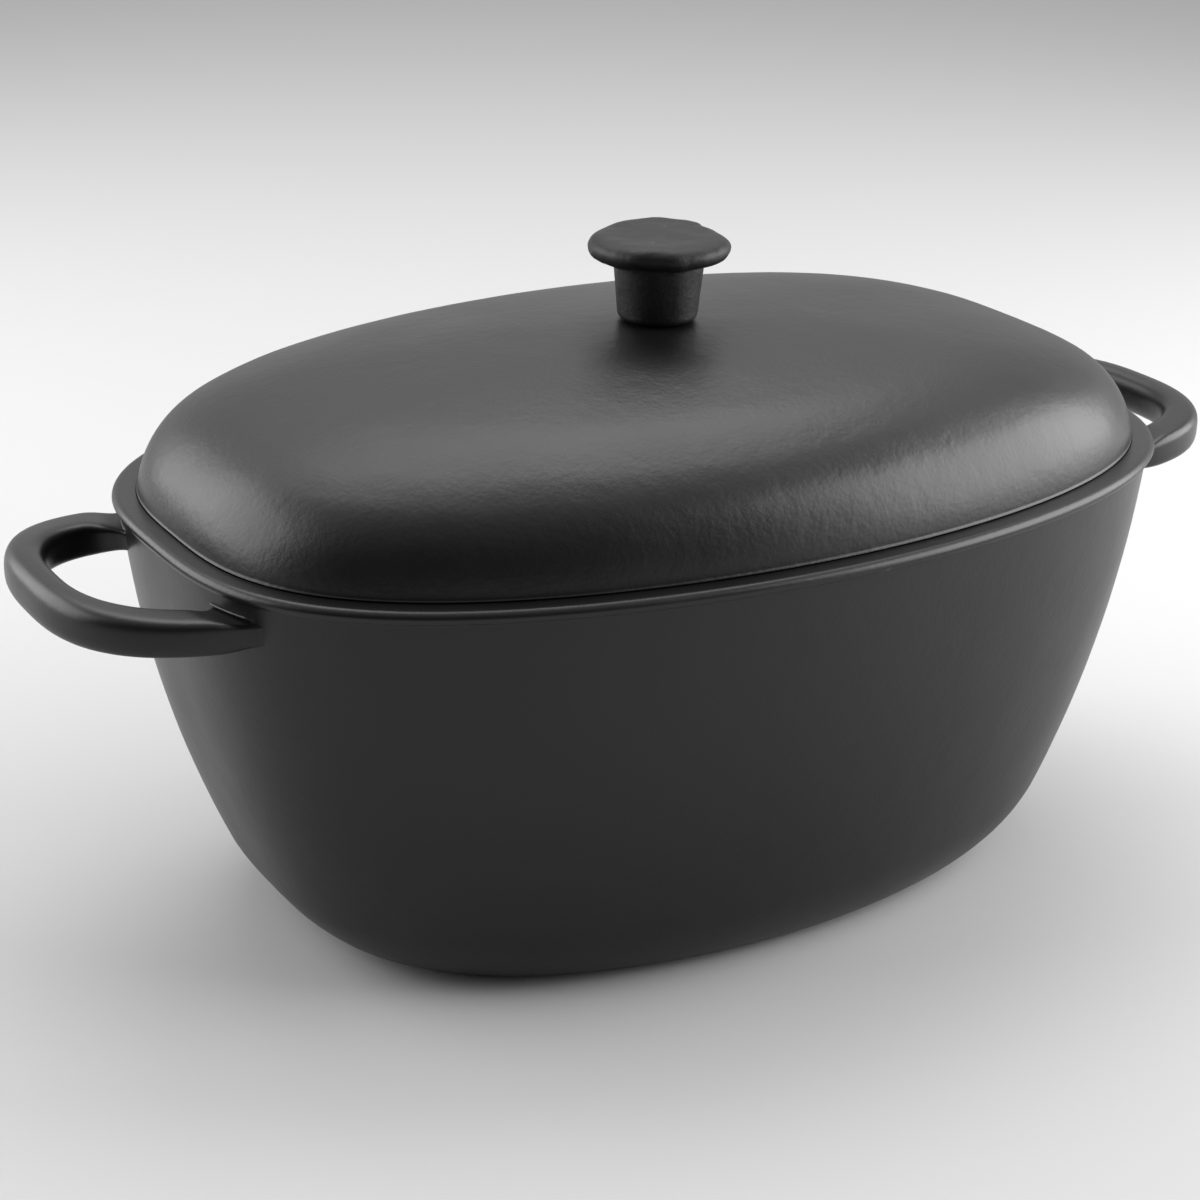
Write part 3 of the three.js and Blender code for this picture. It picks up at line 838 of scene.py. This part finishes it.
def build_camera():
    azimuth, elevation, roll = (math.radians(v) for v in (CAMERA_AZIMUTH, CAMERA_ELEVATION, CAMERA_ROLL))
    level = Vector((math.sin(azimuth), math.cos(azimuth), 0))
    forward = level * math.cos(elevation) - Vector((0, 0, math.sin(elevation)))
    right = Vector((math.cos(azimuth), -math.sin(azimuth), 0))
    up = right.cross(forward)
    data = bpy.data.cameras.new("camera")
    data.lens = CAMERA_LENS
    data.sensor_width = 36
    data.shift_x, data.shift_y = CAMERA_SHIFT
    camera = bpy.data.objects.new("camera", data)
    bpy.context.scene.collection.objects.link(camera)
    turned_right = right * math.cos(roll) + up * math.sin(roll)
    turned_up = up * math.cos(roll) - right * math.sin(roll)
    turned = Matrix((turned_right, turned_up, -forward)).transposed()
    camera.matrix_world = Matrix.Translation(CAMERA_PLACE) @ turned.to_4x4()
    bpy.context.scene.camera = camera


def build_floor():
    h = FLOOR_HALF_SIZE
    points = [(-h, -h, FLOOR_Z), (h, -h, FLOOR_Z), (h, h, FLOOR_Z), (-h, h, FLOOR_Z)]
    floor = mesh_object("floor", points, [(0, 1, 2, 3)], shade_smooth=False)
    floor.data.materials.append(plain("floor_white", FLOOR_TONE, 0.9))


def softbox(name, bearing, elevation, distance, size, power):
    b, e = math.radians(bearing), math.radians(elevation)
    level = BEHIND * math.cos(b) + TO_RIGHT * math.sin(b)
    data = bpy.data.lights.new(name, "AREA")
    data.shape = "RECTANGLE"
    data.size, data.size_y = size
    data.energy = power
    light = bpy.data.objects.new(name, data)
    light.location = level * (distance * math.cos(e))
    light.location.z = SOFTBOX_CENTRE_Z + distance * math.sin(e)
    light.rotation_euler = (SOFTBOX_TARGET - light.location).to_track_quat("-Z", "Y").to_euler()
    bpy.context.scene.collection.objects.link(light)


def build_studio():
    """A soft glow all round, brightest behind the object and overhead."""
    world = bpy.data.worlds.new("studio")
    world.use_nodes = True
    tree = world.node_tree
    direction = add(tree, "ShaderNodeTexCoord").outputs["Generated"]
    facing = add(tree, "ShaderNodeVectorMath", operation="DOT_PRODUCT")
    facing.inputs[1].default_value = BEHIND
    tree.links.new(direction, facing.inputs[0])
    split = add(tree, "ShaderNodeSeparateXYZ")
    tree.links.new(direction, split.inputs[0])
    level = ramp(tree, facing.outputs["Value"], -0.6, 0.7, FRONT_GLOW, BEHIND_GLOW)
    high = ramp(tree, split.outputs["Z"], 0.5, 1, 0, OVERHEAD_GLOW)
    total = add(tree, "ShaderNodeMath", operation="ADD")
    tree.links.new(level, total.inputs[0])
    tree.links.new(high, total.inputs[1])
    tree.links.new(total.outputs[0], tree.nodes["Background"].inputs["Strength"])
    tree.nodes["Background"].inputs["Color"].default_value = (1, 1, 1, 1)
    bpy.context.scene.world = world


# ------------------------------------------------------------------ assembly

def finish_piece(piece, body, slot, material, *nodes):
    """Gives a piece its material and body, and hides the CAD nodes that it stands for. Its slot is not
    used.
    """
    piece.data.materials.append(material)
    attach(piece, body)
    if nodes:
        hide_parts(*nodes)


build_camera()
build_floor()
for settings in SOFTBOXES:
    softbox(*settings)
build_studio()

pot_iron = iron("pot_iron", 800, 0.00004, 0.36)
lid_iron = iron("lid_iron", 560, 0.00009, 0.38)
knob_iron = iron("knob_iron", 420, 0.00018, 0.5, 1.39)
screw_steel = steel("screw_steel")

finish_piece(build_pot_shell(), "pot", "cast_iron_pot", pot_iron, "pot")
for handle_name, handle_end in (("handle_right", 1), ("handle_left", -1)):
    finish_piece(build_handle(handle_name, handle_end), "pot", "cast_iron_pot", pot_iron)
    for ridge_name, ridge_side in (("front", -1), ("back", 1)):
        ridge = build_ridge(f"{handle_name}_ridge_{ridge_name}", handle_end, ridge_side)
        finish_piece(ridge, "pot", "cast_iron_pot", pot_iron)
finish_piece(build_lid(), "lid", "cast_iron_lid", lid_iron, "lid")
finish_piece(build_boss(), "lid", "cast_iron_lid", lid_iron)
finish_piece(build_knob(), "lid", "cast_iron_knob", knob_iron, "knob")
for node in ("knob_screw", "lock_washer"):
    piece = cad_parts[node]
    piece.data.materials.clear()
    piece.data.materials.append(screw_steel)

bpy.context.scene.view_settings.view_transform = "Standard"
